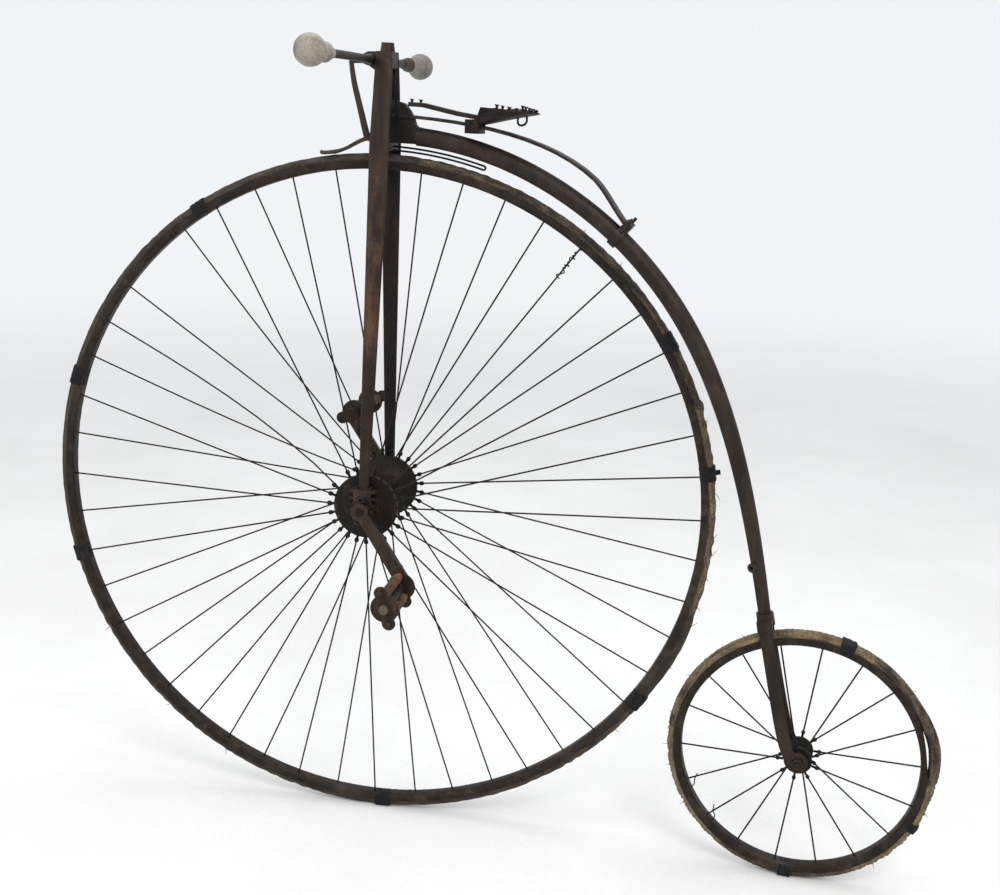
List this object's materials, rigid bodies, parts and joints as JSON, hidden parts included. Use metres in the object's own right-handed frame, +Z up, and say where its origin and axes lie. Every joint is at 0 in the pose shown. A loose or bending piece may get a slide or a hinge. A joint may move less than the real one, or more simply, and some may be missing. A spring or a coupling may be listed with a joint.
{
  "type": "high-wheel bicycle",
  "caption": "High-wheel bicycle with a tall spoked front driving wheel, cranks and pedals on its hub, a curved backbone, a small trailing rear wheel and a bare saddle frame.",
  "frame": {"origin": "on the saddle frame between the nose strip and the cantle plate, where the rider sits, 1400 mm above the ground", "axes": "forward is -X, the rider's left is -Y, +Z is up with both wheels on one level floor at z = -1.4 m"},
  "size_m": [1.7513, 0.74, 1.5192],
  "materials": {
    "dark_frame": "almost black old finish with dull red-brown rust",
    "hub_iron": "rusty dark brown iron",
    "crank_steel": "olive brown, worn, with orange rust",
    "spring_steel": "dark pitted steel",
    "bar_steel": "dark brown steel",
    "spoke_wire": "blackened wire",
    "tyre": "hard old rubber, cracked, taped in places",
    "rear_tyre": "hard old tan rubber, crumbling",
    "pedal_rubber": "perished brown rubber",
    "pale_grip": "aged bone colour, stained"
  },
  "bodies": {
    "frame": {"backbone": "dark_frame", "neck": "dark_frame", "step_boss": "dark_frame", "rear_fork_crown": "dark_frame", "rear_fork_left": "dark_frame", "rear_fork_right": "dark_frame", "rear_axle": "dark_frame", "rear_axle_nuts": "dark_frame", "saddle_spring": "spring_steel", "spring_clamp": "spring_steel", "saddle_clip": "spring_steel", "saddle_nose": "spring_steel", "saddle_cantle": "spring_steel", "saddle_loop": "spring_steel"},
    "fork": {"fork_blade_left": "dark_frame", "fork_blade_right": "dark_frame", "fork_crown": "dark_frame", "head_top": "dark_frame", "head_cap": "dark_frame", "handlebar": "bar_steel", "grip_left": "pale_grip", "grip_right": "pale_grip", "brake_arm": "bar_steel", "brake_spoon": "bar_steel", "brake_spring": "bar_steel", "hub_bearing_left": "dark_frame", "hub_bearing_right": "dark_frame"},
    "front_wheel": {"front_tyre": "tyre", "front_rim": "dark_frame", "front_hub": "hub_iron", "front_axle": "dark_frame", "front_spokes_left": "spoke_wire", "front_spokes_right": "spoke_wire", "crank_left": "crank_steel", "crank_right": "crank_steel", "pedal_pin_left": "crank_steel", "pedal_pin_right": "crank_steel"},
    "pedal_left": {"pedal_left": "dark_frame", "pedal_rubbers_left": "pedal_rubber"},
    "pedal_right": {"pedal_right": "dark_frame", "pedal_rubbers_right": "pedal_rubber"},
    "rear_wheel": {"rear_tyre": "rear_tyre", "rear_rim": "dark_frame", "rear_hub": "hub_iron", "rear_spokes_left": "spoke_wire", "rear_spokes_right": "spoke_wire"}
  },
  "joints": [
    {"name": "steering", "type": "hinge", "parent": "frame", "child": "fork", "pos_m": [-0.245, 0, -0.74], "axis": [0.014, 0, 0.9999], "range_deg": [-33, 23]},
    {"name": "front_wheel_spin", "type": "hinge", "parent": "fork", "child": "front_wheel", "pos_m": [-0.245, 0, -0.74], "axis": [-0.0906, 0.9959, 0.0013], "continuous": true},
    {"name": "pedal_left_spin", "type": "hinge", "parent": "front_wheel", "child": "pedal_left", "pos_m": [-0.13611, -0.19126, -0.8675], "axis": [-0.0906, 0.9959, 0.0013], "continuous": true},
    {"name": "pedal_right_spin", "type": "hinge", "parent": "front_wheel", "child": "pedal_right", "pos_m": [-0.35389, 0.19126, -0.6125], "axis": [-0.0906, 0.9959, 0.0013], "continuous": true},
    {"name": "rear_wheel_spin", "type": "hinge", "parent": "frame", "child": "rear_wheel", "pos_m": [0.601, 0, -1.152], "axis": [0, 1, 0], "continuous": true}
  ]
}
